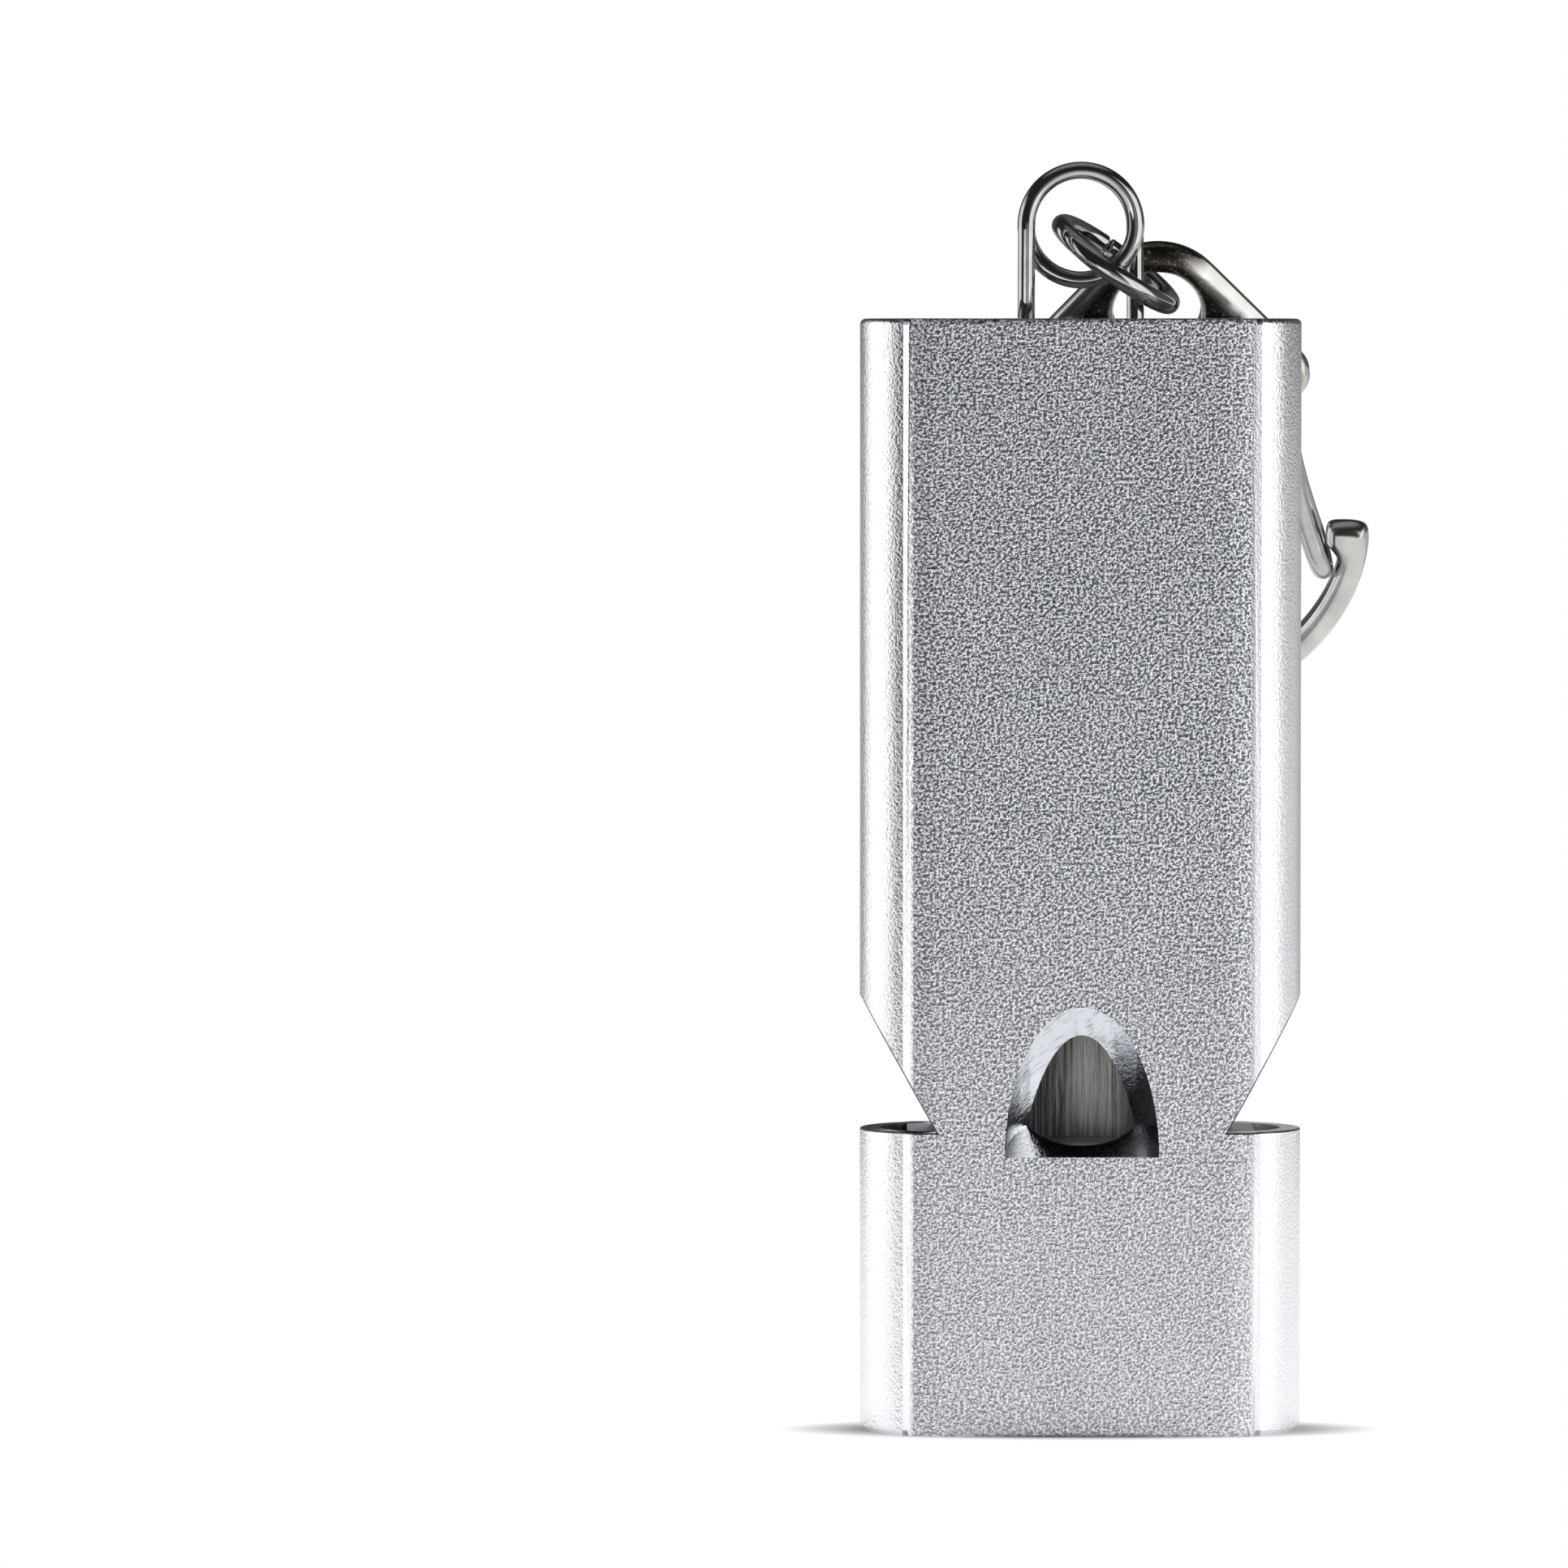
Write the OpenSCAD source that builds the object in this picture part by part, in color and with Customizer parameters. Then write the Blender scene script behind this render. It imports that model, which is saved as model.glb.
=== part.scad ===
// Survival whistle: a three-tube aluminium extrusion with a wire loop, a jump ring and a sprung hook.
// Millimetres. The mouthpiece end stands on z = 0, the window faces -Y, and the hook hangs behind at +Y.

/* [Body] */
// Length of the extruded body
body_len = 55; // [48:0.5:65]
// Thickness over the two flat panels
panel_t = 8.1; // [7.8:0.1:8.6]
// Width of the flat of a panel
panel_flat_w = 16.6; // [16:0.1:17]
// Width of the bevel between a panel and a lobe
panel_bevel_w = 0.5; // [0.3:0.1:0.8]
// Outer radius of the round lobes at the sides
lobe_r = 4; // [3.8:0.05:4.2]
// Distance between the axes of the two side tubes
tube_span = 13.8; // [13.4:0.1:14.4]
// Bore of the side tubes
side_bore_d = 6; // [5.4:0.1:6.2]
// Bore of the centre tube
centre_bore_d = 6.4; // [6.3:0.05:6.6]
// Rounding of the edges at both ends
edge_r = 0.3; // [0.1:0.05:0.5]

/* [Mouths] */
// Height of the shoulders of the side notches
notch_z = 15; // [12:0.5:20]
// Depth of the side notches
notch_depth = 3.75; // [3:0.05:4.5]
// Angle of a notch's ramp from the length of the body
notch_ramp = 29.5; // [25:0.5:40]
// Height of the lower edge of the window
window_z = 13.8; // [11:0.1:19]
// Diameter of the cutter that leaves the arched window
window_d = 7.6; // [6.5:0.1:8]
// Angle of that cutter from the front panel
window_ramp = 31; // [26:0.5:40]

/* [Plugs] */
// Height of the windway over the flat of a block
windway_h = 1.35; // [0.9:0.05:1.6]
// Clearance of a plug in its bore
plug_clearance = 0.03; // [0.01:0.01:0.05]
// Depth of the stoppers below the top end
plug_recess = 0.3; // [0.1:0.1:0.8]
// Length of the left stopper
left_stopper_len = 12; // [8:0.5:20]
// Length of the centre stopper
centre_stopper_len = 8; // [7:0.5:16]
// Length of the right stopper
right_stopper_len = 16; // [8:0.5:20]

/* [Wire loop] */
// Diameter of the loop's wire
hanger_wire_d = 0.85; // [0.7:0.05:0.9]
// Diameter of the loop at the middle of its wire
loop_d = 5.4; // [5.2:0.1:5.4]
// Height of the loop's centre above the body
loop_rise = 4.6; // [4.4:0.05:6]
// Spacing of the loop's turns
loop_pitch = 1.3; // [1.28:0.01:1.5]
// Depth of the legs below the top end
leg_depth = 6; // [3:0.5:6.5]
// Sideways place of each leg from the middle of the body
leg_y = 0.4; // [0.2:0.05:0.45]
// Clearance of a leg in its groove
leg_clearance = 0.04; // [0.02:0.01:0.06]

/* [Jump ring] */
// Outer diameter of the ring
ring_od = 7.6; // [7.5:0.1:9]
// Diameter of the ring's wire
ring_wire_d = 1; // [0.8:0.05:1]
// Width of the open seam of the ring
ring_seam = 0.15; // [0.1:0.05:0.4]
// Slope of the ring, down to the right
ring_slope = 36; // [34:1:42]
// Tilt of the ring, its back edge raised
ring_tilt = 9; // [5:1:12]
// Clearance of the ring from the loop's wire
ring_gap = 0.2; // [0.1:0.005:0.3]

/* [Hook] */
// Thickness of the hook
hook_t = 1.6; // [1.4:0.05:1.7]
// Bore of the hook's eye
eye_d = 4.4; // [4.2:0.05:5]
// Width of the rim over the eye
eye_rim = 1.4; // [1.2:0.05:1.6]
// Height of the web between the eye and the throat
web_h = 2.1; // [1.5:0.1:3]
// Depth of the web below the hook's faces
web_recess = 0.06; // [0.04:0.01:0.2]
// Radius of the arch under that web
web_arch_r = 12; // [9:0.5:20]
// Inner radius of the hook's bulb
throat_r = 9.4; // [8.5:0.05:9.6]
// Width of the hook's band
band_w = 1.3; // [1.2:0.05:1.9]
// Distance from the eye's centre down to the bulb's centre
bulb_drop = 11.7; // [11:0.1:13]
// Sideways distance from the eye's centre to a shoulder
shoulder_x = 6.2; // [6:0.1:7]
// Distance from the eye's centre down to a shoulder
shoulder_drop = 3.6; // [3:0.1:4]
// Radius of a shoulder
shoulder_r = 1.45; // [1.2:0.05:1.6]
// Width of the bevel round the hook
bevel_w = 0.55; // [0.3:0.05:0.6]
// Depth of that bevel
bevel_h = 0.4; // [0.2:0.05:0.5]
// Angle of the nose's end below the bulb's centre
nose_angle = 1; // [0:1:12]
// Length of the nose's lip along the bulb
lip_len = 1.9; // [0.8:0.1:2.2]
// Depth of the nose's lip
lip_depth = 0.9; // [0.1:0.05:1]
// Sideways swing of the hanging hook
hook_tilt = 1; // [0:0.5:8]
// Gap between the eye's rim and the ring
eye_gap = 0.45; // [0.2:0.05:0.6]
// Gap between the hook and the back top edge of the body
edge_gap = 0.12; // [0.1:0.01:0.3]

/* [Gate] */
// Diameter of the gate's wire
gate_wire_d = 1; // [0.7:0.05:1.1]
// Clearance of the gate's ends in their hole
pivot_clearance = 0.05; // [0.02:0.01:0.1]
// Gap between the gate's wires and the hook's faces
gate_gap = 0.3; // [0.1:0.01:0.4]
// Gap between the gate's end and the throat
gate_end_gap = 0.12; // [0.1:0.01:0.3]
// Distance from the bulb's centre down to the gate's end
gate_end_drop = 2.7; // [2.5:0.1:4]
// Inward bow of the gate's wires
gate_bow = 0.45; // [0:0.05:0.8]

/* [Hidden] */
$fn = 96;
past = 1;
tube_x = tube_span / 2;
half_w = tube_x + lobe_r;
bevel_x = panel_flat_w / 2 + panel_bevel_w;
bevel_y = sqrt(pow(lobe_r, 2) - pow(bevel_x - tube_x, 2));
notch_x = half_w - notch_depth;
centre_wall = (panel_t - centre_bore_d) / 2;
centre_block_len = window_z + centre_wall * tan(window_ramp);

// Wire loop: one and a half turns about the Y axis, front leg on the left, back leg on the right
loop_turns = 1.5;
loop_rings = 24;
wire_sides = 6;
loop_r = loop_d / 2;
loop_z = body_len + loop_rise;
coil_y = loop_turns * loop_pitch / 2;
coil_steps = loop_turns * loop_rings;
leg_steps = 6;
bend_low = body_len + hanger_wire_d;
bend_share = 0.7;
bend_high = loop_z - bend_share * loop_r;
leg_reach = (centre_bore_d - hanger_wire_d) / 2 - leg_clearance;
leg_x = sqrt(pow(leg_reach, 2) - pow(leg_y, 2));

// Jump ring: it hangs on the loop's lower right, from the wire's point at hang_angle
hang_angle = -54;
seam_angle = 105;
ring_r = (ring_od - ring_wire_d) / 2;
hang_turn = (180 - hang_angle) / 360;
hang_point = [loop_r * cos(hang_angle), hang_turn * loop_pitch - coil_y, loop_z + loop_r * sin(hang_angle)];
ring_u = [cos(ring_slope), 0, -sin(ring_slope)];
ring_n = [sin(ring_slope), 0, cos(ring_slope)];
ring_v = [0, cos(ring_tilt), 0] + sin(ring_tilt) * ring_n;
ring_c = hang_point + (ring_r - (ring_wire_d + hanger_wire_d) / 2 - ring_gap) * ring_v;

// Hook: the ring passes its eye at eye_angle, and it leans until it clears the body's back top edge
eye_angle = 45;
eye_r = eye_d / 2;
top_r = eye_r + eye_rim;
eye_seat = eye_r - ring_wire_d / 2 - eye_gap;
hang_eye = ring_c + ring_r * (cos(eye_angle) * ring_u + sin(eye_angle) * ring_v);
edge_back = hang_eye[1] - panel_t / 2;
edge_drop = hang_eye[2] - body_len;
edge_reach = sqrt(pow(edge_back, 2) + pow(edge_drop, 2));
hook_lean = asin((hook_t / 2 + edge_gap) / edge_reach) - atan2(edge_back, edge_drop);
hook_up = [-sin(hook_tilt), -cos(hook_tilt) * sin(hook_lean), cos(hook_tilt) * cos(hook_lean)];
eye_c = hang_eye - eye_seat * hook_up;
bulb_c = [0, -bulb_drop];
bulb_r = throat_r + band_w;
joint_inset = 0.02;
joint_lap = 0.1;
gate_shoulder = [shoulder_x, -shoulder_drop];
spine_shoulder = [-shoulder_x, -shoulder_drop];
spine_angle = tangent_angle(bulb_c, bulb_r, spine_shoulder, shoulder_r);
arch_y = -eye_r - web_h - web_arch_r;
plate_gate_corner = [1, 1.7];
plate_spine_corner = [0.4, 2.2];

// Gate: one wire, pinned in the shoulder on both faces, down both faces and round at the end
gate_sides = 10;
gate_steps = 7;
bend_steps = 4;
gate_z = hook_t / 2 + gate_gap + gate_wire_d / 2;
pin_split = 0.2;
pin_z = pin_split / 2;
gate_bend = gate_wire_d * 3 / 4;
gate_end_r = throat_r - gate_end_gap - gate_wire_d / 2;
gate_end = bulb_c + [sqrt(pow(gate_end_r, 2) - pow(gate_end_drop, 2)), -gate_end_drop];
gate_run = gate_end - gate_shoulder;

function unit(v) = v / norm(v);
function ease(s) = s <= 0 ? 0 : s >= 1 ? 1 : s * s * (3 - 2 * s);
function reversed(list) = [for (i = [len(list) - 1:-1:0]) list[i]];

// Direction of a path at point i, and a side vector carried along it without twist
function direction(path, i) = unit(path[min(i + 1, len(path) - 1)] - path[max(i - 1, 0)]);
function square_to(v, along) = unit(v - (v * along) * along);
function carried_sides(path, first) = [
    for (i = 0, s = square_to(first, direction(path, 0)); i < len(path);
        i = i + 1, s = i < len(path) ? square_to(s, direction(path, i)) : s) s
];

// Angle of the outward normal of the line that touches two circles on the left of the way from a to b
function tangent_angle(a, ra, b, rb) = atan2(b[1] - a[1], b[0] - a[0]) + acos((ra - rb) / norm(b - a));

// Centre line of the wire loop
function leg_point(side, z) = let(s = ease((z - bend_low) / (bend_high - bend_low)))
    side * [leg_x + (loop_r - leg_x) * s, leg_y + (coil_y - leg_y) * s, side * z];
leg_heights = concat([body_len - leg_depth, body_len],
    [for (i = [0:leg_steps]) bend_low + (bend_high - bend_low) * i / leg_steps]);
coil_points = [for (i = [0:coil_steps]) let(turn = i / loop_rings)
    [-loop_r * cos(360 * turn), turn * loop_pitch - coil_y, loop_z + loop_r * sin(360 * turn)]];
hanger_path = concat([for (z = leg_heights) leg_point(-1, z)], coil_points,
    reversed([for (z = leg_heights) leg_point(1, z)]));

// Least gap of the wire to itself, between points that are not neighbours
apart = 10;
hanger_gap = min([for (i = [0:len(hanger_path) - 1 - apart], j = [i + apart:len(hanger_path) - 1])
    norm(hanger_path[i] - hanger_path[j])]) - hanger_wire_d;
echo("least gap of the wire loop to itself, mm", hanger_gap);

// Centre line of the gate, in the hook's own plane, with z square to the hook
function gate_place(s) = gate_shoulder + gate_run * s + [-gate_bow * sin(180 * s), 0];
function gate_point(s, z) = let(p = gate_place(s)) [p[0], p[1], z];
gate_top = gate_bend / norm(gate_run);
gate_low = 1 - gate_z / norm(gate_run);
gate_leg = concat(
    [for (z = [pin_z, gate_z - gate_bend]) [gate_shoulder[0], gate_shoulder[1], z]],
    [for (i = [1:bend_steps]) let(a = 90 * i / bend_steps)
        gate_point(gate_top * (1 - cos(a)), gate_z - gate_bend * (1 - sin(a)))],
    [for (i = [1:gate_steps]) gate_point(gate_top + (gate_low - gate_top) * i / gate_steps, gate_z)]);
gate_round = [for (i = [1:2 * bend_steps - 1]) let(a = 90 * i / bend_steps)
    gate_point(gate_low + (1 - gate_low) * sin(a), gate_z * cos(a))];
gate_path = concat(gate_leg, gate_round, reversed([for (p = gate_leg) [p[0], p[1], -p[2]]]));

// Round wire along a path of points
module wire(path, d, sides, first) {
    side = carried_sides(path, first);
    points = [for (i = [0:len(path) - 1], k = [0:sides - 1])
        let(other = cross(direction(path, i), side[i]), a = 360 * k / sides)
        path[i] + d / 2 * (cos(a) * side[i] + sin(a) * other)];
    last = (len(path) - 1) * sides;
    walls = [for (i = [0:len(path) - 2], k = [0:sides - 1], half = [0, 1])
        let(a = i * sides + k, b = i * sides + (k + 1) % sides)
        half == 0 ? [a, a + sides, b] : [b, a + sides, b + sides]];
    ends = [for (k = [1:sides - 2], far = [0, 1])
        far == 0 ? [0, k, k + 1] : [last, last + k + 1, last + k]];
    polyhedron(points, concat(walls, ends));
}

module rounded_rect(w, h, r) {
    square([w - 2 * r, h], center = true);
    square([w, h - 2 * r], center = true);
    for (x = [-1, 1], y = [-1, 1])
        translate([x * (w / 2 - r), y * (h / 2 - r)]) circle(r);
}

// Round post from z = 0, with both edges rounded
module rounded_post(r, h, edge) {
    rotate_extrude() {
        translate([0, edge]) square([r, h - 2 * edge]);
        square([r - edge, h]);
        for (z = [edge, h - edge])
            translate([r - edge, z]) circle(edge);
    }
}

module panel_section() {
    flat = [panel_flat_w / 2, panel_t / 2];
    low = [bevel_x, bevel_y];
    polygon([flat, low, [low[0], -low[1]], [flat[0], -flat[1]],
        -flat, -low, [-low[0], low[1]], [-flat[0], flat[1]]]);
}

module body_blank() {
    for (x = [-tube_x, tube_x])
        translate([x, 0, 0]) rounded_post(lobe_r, body_len, edge_r);
    intersection() {
        linear_extrude(body_len) panel_section();
        translate([-half_w, 0, body_len / 2]) rotate([90, 0, 90])
            linear_extrude(2 * half_w) rounded_rect(panel_t, body_len, edge_r);
    }
}

module side_notch() {
    reach = notch_depth + past;
    rotate([90, 0, 0]) translate([notch_x, notch_z, -panel_t])
        linear_extrude(2 * panel_t) polygon([[0, 0], [reach, 0], [reach, reach / tan(notch_ramp)]]);
}

module window_cut() {
    translate([0, -panel_t / 2, window_z]) rotate([window_ramp, 0, 0])
        cylinder(d = window_d, h = 2 * window_d);
}

module tube_bore(x, d) {
    translate([x, 0, -past]) cylinder(d = d, h = body_len + 2 * past);
}

module whistle_body() {
    color("silver") difference() {
        body_blank();
        tube_bore(-tube_x, side_bore_d);
        tube_bore(0, centre_bore_d);
        tube_bore(tube_x, side_bore_d);
        side_notch();
        mirror([1, 0, 0]) side_notch();
        window_cut();
    }
}

// Plug with a flat on the side that faces turn degrees from +X, flush with the mouthpiece end
module windway_block(x, bore_d, top, turn) {
    color("gainsboro") translate([x, 0, 0]) rotate([0, 0, turn]) difference() {
        cylinder(d = bore_d - 2 * plug_clearance, h = top);
        translate([bore_d / 2 - windway_h, -bore_d / 2, -past]) cube([bore_d, bore_d, top + 2 * past]);
    }
}

module left_windway_block() {
    windway_block(-tube_x, side_bore_d, notch_z, 180);
}

module centre_windway_block() {
    windway_block(0, centre_bore_d, centre_block_len, -90);
}

module right_windway_block() {
    windway_block(tube_x, side_bore_d, notch_z, 0);
}

module end_stopper(x, bore_d, length) {
    translate([x, 0, body_len - plug_recess - length])
        cylinder(d = bore_d - 2 * plug_clearance, h = length);
}

module left_end_stopper() {
    color("gainsboro") end_stopper(-tube_x, side_bore_d, left_stopper_len);
}

module right_end_stopper() {
    color("gainsboro") end_stopper(tube_x, side_bore_d, right_stopper_len);
}

// Groove that holds one leg of the wire loop against the wall of the bore
module leg_groove(side) {
    groove_d = hanger_wire_d + 2 * leg_clearance;
    translate([side * leg_x, side * leg_y, body_len - leg_depth - leg_clearance]) {
        cylinder(d = groove_d, h = leg_depth + past);
        translate([side > 0 ? 0 : -groove_d, -groove_d / 2, 0])
            cube([groove_d, groove_d, leg_depth + past]);
    }
}

module centre_end_stopper() {
    color("gainsboro") difference() {
        end_stopper(0, centre_bore_d, centre_stopper_len);
        leg_groove(-1);
        leg_groove(1);
    }
}

module hanger_wire() {
    color("whitesmoke") wire(hanger_path, hanger_wire_d, wire_sides, [0, 1, 0]);
}

module jump_ring() {
    seam = 2 * asin(ring_seam / 2 / ring_r);
    color("whitesmoke") translate(ring_c) rotate([ring_tilt, ring_slope, 0])
        rotate([0, 0, seam_angle + seam / 2]) rotate_extrude(angle = 360 - seam)
            translate([ring_r, 0]) circle(d = ring_wire_d);
}

// The hook is drawn flat, x to the gate's side and y up from the eye, then hung from the ring
module hung() {
    translate(eye_c) rotate([hook_lean, 0, 0]) rotate([0, -hook_tilt, 0]) rotate([90, 0, 0]) children();
}

// Section of the hook's bar, from its outer edge at x = 0 inwards
module bar_section(w) {
    side = hook_t / 2 - bevel_h;
    face = hook_t / 2;
    polygon([[0, -side], [0, side], [-bevel_w, face], [bevel_w - w, face],
        [-w, side], [-w, -side], [bevel_w - w, -face], [-bevel_w, -face]]);
}

module bevel_disc(centre, r) {
    translate([centre[0], centre[1], 0]) rotate_extrude() intersection() {
        translate([r, 0]) bar_section(2 * r);
        translate([0, -hook_t]) square([r, 2 * hook_t]);
    }
}

// Straight bar along the line that touches two circles on the left of the way from a to b.
// It is set in a little, so that its faces cross those of the round pieces.
module tangent_bar(a, ra, b, rb) {
    angle = tangent_angle(a, ra, b, rb);
    length = sqrt(pow(norm(b - a), 2) - pow(ra - rb, 2));
    reach = ra - joint_inset;
    translate([a[0] + reach * cos(angle), a[1] + reach * sin(angle), 0]) rotate([0, 0, angle])
        rotate([90, 0, 0]) translate([0, 0, -joint_lap]) linear_extrude(length + 2 * joint_lap)
            bar_section(band_w);
}

module bulb_arc(r, start, end, w) {
    translate([bulb_c[0], bulb_c[1], 0]) rotate([0, 0, start]) rotate_extrude(angle = end - start)
        translate([r, 0]) bar_section(w);
}

module eye_plate() {
    low_gate = gate_shoulder - shoulder_r * plate_gate_corner;
    low_spine = spine_shoulder - shoulder_r * plate_spine_corner;
    translate([0, 0, web_recess - hook_t / 2]) linear_extrude(hook_t - 2 * web_recess) difference() {
        polygon([[0, 0], gate_shoulder, low_gate, low_spine, spine_shoulder]);
        translate([0, arch_y]) circle(web_arch_r);
    }
}

module hook_body() {
    nose = 360 - nose_angle;
    lip = lip_len / bulb_r * 180 / PI;
    lap_angle = joint_lap / bulb_r * 180 / PI;
    color("lightgray") hung() difference() {
        union() {
            bevel_disc([0, 0], top_r);
            bevel_disc(gate_shoulder, shoulder_r);
            bevel_disc(spine_shoulder, shoulder_r);
            tangent_bar([0, 0], top_r, gate_shoulder, shoulder_r);
            tangent_bar(spine_shoulder, shoulder_r, [0, 0], top_r);
            tangent_bar(bulb_c, bulb_r, spine_shoulder, shoulder_r);
            eye_plate();
            bulb_arc(bulb_r, spine_angle, nose - lip, band_w);
            bulb_arc(bulb_r - joint_inset, nose - lip - lap_angle, nose, band_w + lip_depth);
        }
        translate([0, 0, -hook_t]) cylinder(r = eye_r, h = 2 * hook_t);
        for (face = [0, 180])
            rotate([face, 0, 0]) translate([0, 0, hook_t / 2 - bevel_h])
                cylinder(r1 = eye_r, r2 = eye_r + 2 * bevel_h, h = 2 * bevel_h);
        translate([gate_shoulder[0], gate_shoulder[1], -hook_t])
            cylinder(d = gate_wire_d + 2 * pivot_clearance, h = 2 * hook_t);
    }
}

module gate_wire() {
    color("whitesmoke") hung() wire(gate_path, gate_wire_d, gate_sides, [1, 0, 0]);
}

whistle_body();
left_windway_block();
centre_windway_block();
right_windway_block();
left_end_stopper();
centre_end_stopper();
right_end_stopper();
hanger_wire();
jump_ring();
hook_body();
gate_wire();
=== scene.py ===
# %% [markdown]
# # A survival whistle
#
# The whistle is a flat aluminium extrusion with three tubes. A wire loop grips its top end, a ring
# hangs in the loop, and a small sprung hook hangs on the ring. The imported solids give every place
# and size. This lesson gives them their looks: smooth wire, softened edges, and metal that was
# blasted, milled or plated.

import math

import bmesh
import bpy
import numpy as np
from mathutils.geometry import tessellate_polygon
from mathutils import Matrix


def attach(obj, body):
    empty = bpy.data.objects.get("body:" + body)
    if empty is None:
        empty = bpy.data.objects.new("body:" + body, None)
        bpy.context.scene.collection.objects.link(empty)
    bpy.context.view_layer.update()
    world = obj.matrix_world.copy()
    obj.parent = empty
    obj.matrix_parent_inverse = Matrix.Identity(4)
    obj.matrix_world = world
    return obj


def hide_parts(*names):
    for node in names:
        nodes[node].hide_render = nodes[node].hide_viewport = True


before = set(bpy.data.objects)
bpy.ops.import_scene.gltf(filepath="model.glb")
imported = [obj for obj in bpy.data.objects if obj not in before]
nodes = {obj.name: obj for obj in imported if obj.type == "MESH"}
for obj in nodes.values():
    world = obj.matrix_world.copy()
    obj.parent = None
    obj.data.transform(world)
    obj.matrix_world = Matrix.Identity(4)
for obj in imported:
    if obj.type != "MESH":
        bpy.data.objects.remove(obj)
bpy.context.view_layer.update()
mm = 0.001

# %% [markdown]
# ## Surfaces from arrays
#
# A wire is a circle carried along a line. Blender can bevel a curve for that, but a grid of points
# that is worked out with numpy shows the formula, and it leaves a plain mesh with its place in its
# own points.

# %% Mesh from a grid of points
smooth_up_to = math.radians(40)


def unit(v):
    """Each vector of an array divided by its own length."""
    return v / np.linalg.norm(v, axis=-1, keepdims=True)


def mesh_object(name, points, faces):
    """A smooth shaded mesh object at the origin, from a list of points and a list of faces."""
    mesh = bpy.data.meshes.new(name)
    mesh.from_pydata(points, [], faces)
    mesh.shade_smooth()
    mesh.set_sharp_from_angle(angle=smooth_up_to)
    thing = bpy.data.objects.new(name, mesh)
    bpy.context.scene.collection.objects.link(thing)
    return thing


def skin(name, grid):
    """A closed skin on a grid of rings: ring i, side k joins ring i + 1, side k + 1, and the two
    end rings are closed by one face each."""
    rings, sides = grid.shape[:2]
    index = np.arange(rings * sides).reshape(rings, sides)
    here, across = index[:-1], np.roll(index, -1, axis=1)[:-1]
    above, beyond = index[1:], np.roll(index, -1, axis=1)[1:]
    quads = np.stack([here, across, beyond, above], axis=-1).reshape(-1, 4).tolist()
    ends = [index[0, ::-1].tolist(), index[-1].tolist()]
    return mesh_object(name, grid.reshape(-1, 3), quads + ends)


# %% Round wire along a line
def wire_grid(line, radius, reference, sides=28):
    """Rings of a round wire: line point + radius * (cos(a) * side + sin(a) * other), where side is
    the reference direction made square to the line, and other is square to both. Three more rings
    at each end ease it round: they shrink by ease and stand out by reach."""
    along = unit(np.gradient(line, axis=0))
    side = unit(reference - np.sum(reference * along, axis=1, keepdims=True) * along)
    other = np.cross(along, side)
    turn = np.linspace(0, 2 * np.pi, sides, endpoint=False)[None, :, None]
    circle = np.cos(turn) * side[:, None] + np.sin(turn) * other[:, None]
    ease = np.array([0.55, 0.85, 0.97])
    reach = 0.25 * radius * np.array([1.0, 0.75, 0.4])
    thin = np.concatenate([ease, np.ones(len(line)), ease[::-1]]) * radius
    rows = np.concatenate([[0, 0, 0], np.arange(len(line)), [-1, -1, -1]])
    shift = np.concatenate([-reach, np.zeros(len(line)), reach[::-1]])
    middle = line[rows] + shift[:, None] * along[rows]
    return middle[:, None] + thin[:, None, None] * circle[rows]


# %% [markdown]
# ## The wire loop
#
# One length of plated spring wire is wound one and a half turns, and its two legs go down into the
# centre tube. The legs lean from the tube's middle out to the two ends of the winding. The same
# centre line as in the solid is worked out here with many more points, so the loop shines like
# drawn wire.

# %% Wire loop
body_len, loop_rise, loop_r, loop_pitch, loop_turns = 55.0, 4.6, 2.7, 1.3, 1.5
hanger_wire_r, leg_x, leg_y, leg_depth = 0.425, 2.7056, 0.4, 6.0
leg_steps, coil_steps = 60, 180
loop_z, coil_y = body_len + loop_rise, loop_turns * loop_pitch / 2


def leg_line(side, z):
    """One leg: a straight line that leans from its hole out to the end of the winding."""
    s = np.clip((z - body_len) / loop_rise, 0, 1)
    x, y = leg_x + (loop_r - leg_x) * s, leg_y + (coil_y - leg_y) * s
    return np.stack([side * x, side * y, z], axis=1)


def coil_line(turn):
    """The winding: a helix about Y, one pitch for each turn."""
    a = 2 * np.pi * turn
    y = turn * loop_pitch - coil_y
    return np.stack([-loop_r * np.cos(a), y, loop_z + loop_r * np.sin(a)], axis=1)


leg_heights = np.linspace(body_len - leg_depth, loop_z, leg_steps)[:-1]
loop_line = np.concatenate([
    leg_line(-1, leg_heights),
    coil_line(np.linspace(0, loop_turns, coil_steps)),
    leg_line(1, leg_heights)[::-1]])
loop_grid = wire_grid(loop_line * mm, hanger_wire_r * mm, np.array([0.0, 1.0, 0.0]))
wire_loop = skin("wire_loop", loop_grid)
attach(wire_loop, "whistle")
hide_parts("hanger_wire")
print("wire loop:", len(wire_loop.data.polygons), "faces")

# %% [markdown]
# ## The jump ring
#
# The ring is a round wire bent to a circle, with a fine seam where its ends meet. It slopes down to
# the right, and its back edge is a little raised. Two directions in its plane turn a plain circle
# into place.

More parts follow.
